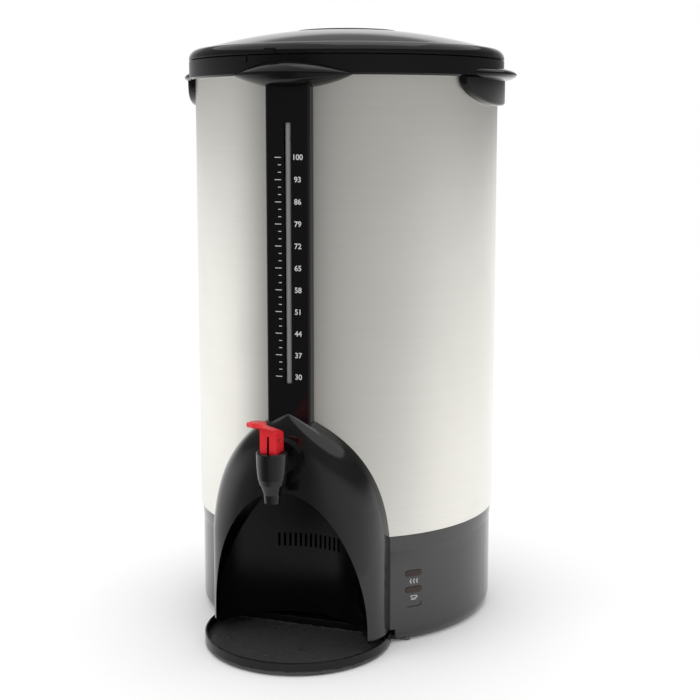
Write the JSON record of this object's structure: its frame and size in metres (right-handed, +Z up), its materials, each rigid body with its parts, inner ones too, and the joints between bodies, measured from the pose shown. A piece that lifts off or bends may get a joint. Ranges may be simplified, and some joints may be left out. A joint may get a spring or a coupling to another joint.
{
  "type": "coffee urn",
  "caption": "Tall percolator urn: steel tank on a black base with cup bay, lever tap, drip tray, sight gauge, side handles and a domed twist-off lid.",
  "frame": {"origin": "on the tank's axis, on the plane of the rim that the urn stands on", "axes": "+Z up along the tank's axis, front with the tap towards -Y, +X to the viewer's right"},
  "size_m": [0.308, 0.355, 0.5215],
  "materials": {
    "gloss_black": "gloss",
    "matte_black": "matt",
    "steel": "brushed",
    "inner_steel": "satin",
    "plated": "polished",
    "red": "gloss",
    "red_lens": "clear tinted",
    "amber_lens": "clear tinted",
    "clear": "clear",
    "rubber": "matt",
    "silicone": "matt",
    "silicone_red": "matt",
    "white_plastic": "satin",
    "wire": "satin"
  },
  "bodies": {
    "urn": {"base_shell": "gloss_black", "base_plate": "matte_black", "base_screws": "plated", "rubber_feet": "rubber", "heating_lens": "red_lens", "warm_lens": "amber_lens", "lamp_holder": "white_plastic", "power_inlet": "matte_black", "terminal_block": "white_plastic", "tie_rods": "plated", "rod_nuts": "plated", "heat_shield": "inner_steel", "boil_element": "inner_steel", "element_clamp": "inner_steel", "clamp_nut": "plated", "warm_element": "inner_steel", "thermostat": "white_plastic", "thermal_fuse": "plated", "wiring": "wire", "tap_hood": "gloss_black", "cup_bay": "matte_black", "tank_wall_shell": "steel", "tank_floor": "inner_steel", "heating_well": "inner_steel", "tap_shank": "matte_black", "shank_nut": "matte_black", "shank_washers": "silicone_red", "tap_body": "gloss_black", "tap_bonnet": "matte_black", "tap_spring": "plated", "gauge_elbow": "matte_black", "sight_tube": "clear", "gauge_strip": "gloss_black", "gauge_cap": "matte_black", "collar": "gloss_black", "front_visor": "gloss_black", "left_handle": "gloss_black", "right_handle": "gloss_black", "handle_screws": "plated"},
    "stem": {"tap_stem": "plated", "seat_cup": "silicone_red", "lever_pin": "plated"},
    "lever": {"tap_lever": "red"},
    "tray": {"drip_tray": "gloss_black"},
    "seal": {"lid_seal": "silicone"},
    "lid": {"lid_shell": "gloss_black", "lid_grip": "gloss_black", "lid_liner": "inner_steel", "lid_screws": "plated"},
    "pump": {"pump_tube": "inner_steel"},
    "valve": {"pump_valve": "inner_steel"},
    "basket": {"coffee_basket": "inner_steel"},
    "cover": {"basket_cover": "inner_steel"}
  },
  "joints": [
    {"name": "lid_lift", "type": "slide", "parent": "urn", "child": "seal", "axis": [0, 0, 1], "range_m": [0, 0.48]},
    {"name": "lid_turn", "type": "hinge", "parent": "seal", "child": "lid", "pos_m": [0, 0, 0.5], "axis": [0, 0, 1], "range_deg": [-12, 0]},
    {"name": "pump_lift", "type": "slide", "parent": "urn", "child": "pump", "axis": [0, 0, 1], "range_m": [0, 0.36]},
    {"name": "valve_float", "type": "slide", "parent": "pump", "child": "valve", "axis": [0, 0, 1], "range_m": [0, 0.003]},
    {"name": "basket_lift", "type": "slide", "parent": "pump", "child": "basket", "axis": [0, 0, 1], "range_m": [0, 0.0672]},
    {"name": "cover_lift", "type": "slide", "parent": "basket", "child": "cover", "axis": [0, 0, 1], "range_m": [0, 0.024]},
    {"name": "lever_press", "type": "hinge", "parent": "stem", "child": "lever", "pos_m": [0, -0.179, 0.188], "axis": [1, 0, 0], "range_deg": [0, 22], "stiffness_Nm_per_rad": 0.4, "springref_deg": -14.32},
    {"name": "stem_lift", "type": "slide", "parent": "urn", "child": "stem", "axis": [0, 0, 1], "range_m": [0, 0.0032], "deforming": ["tap_spring"]},
    {"name": "tray_slide", "type": "slide", "parent": "urn", "child": "tray", "axis": [0, -1, 0], "range_m": [0, 0.13]}
  ],
  "couplings": [
    {"joint": "pump_lift", "follows": "lid_lift", "ratio": 0.75},
    {"joint": "basket_lift", "follows": "lid_lift", "ratio": 0.14},
    {"joint": "cover_lift", "follows": "lid_lift", "ratio": 0.05},
    {"joint": "lever_press", "follows": "stem_lift", "rad_per_m": 119.9}
  ]
}
